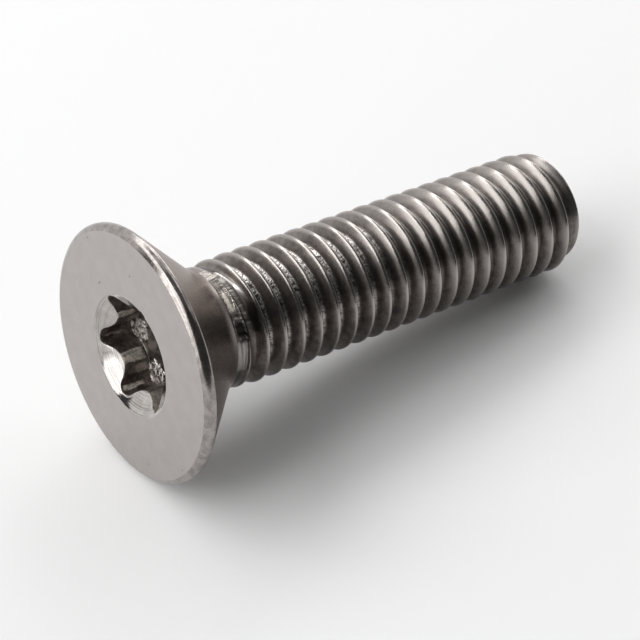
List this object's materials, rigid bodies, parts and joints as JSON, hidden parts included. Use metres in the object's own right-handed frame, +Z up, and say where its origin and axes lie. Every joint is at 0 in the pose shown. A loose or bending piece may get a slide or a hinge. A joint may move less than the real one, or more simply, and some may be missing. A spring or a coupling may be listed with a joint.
{
  "type": "countersunk socket screw",
  "caption": "Flat countersunk machine screw with a six-lobe drive socket and a rolled right-hand thread up to the head, for fastening flush with a surface.",
  "frame": {"origin": "middle of the screw's bounding box, on the floor that it lies on", "axes": "+X from the head towards the tip, +Z up; the screw's own axis dips 7.56 degrees towards the tip, because the head's rim is wider than the thread"},
  "size_m": [0.0204, 0.0098, 0.0098],
  "materials": {
    "steel": "plain stainless steel, satin on the head's face and bright on the rolled thread"
  },
  "bodies": {
    "root": {"screw": "steel"}
  },
  "joints": []
}
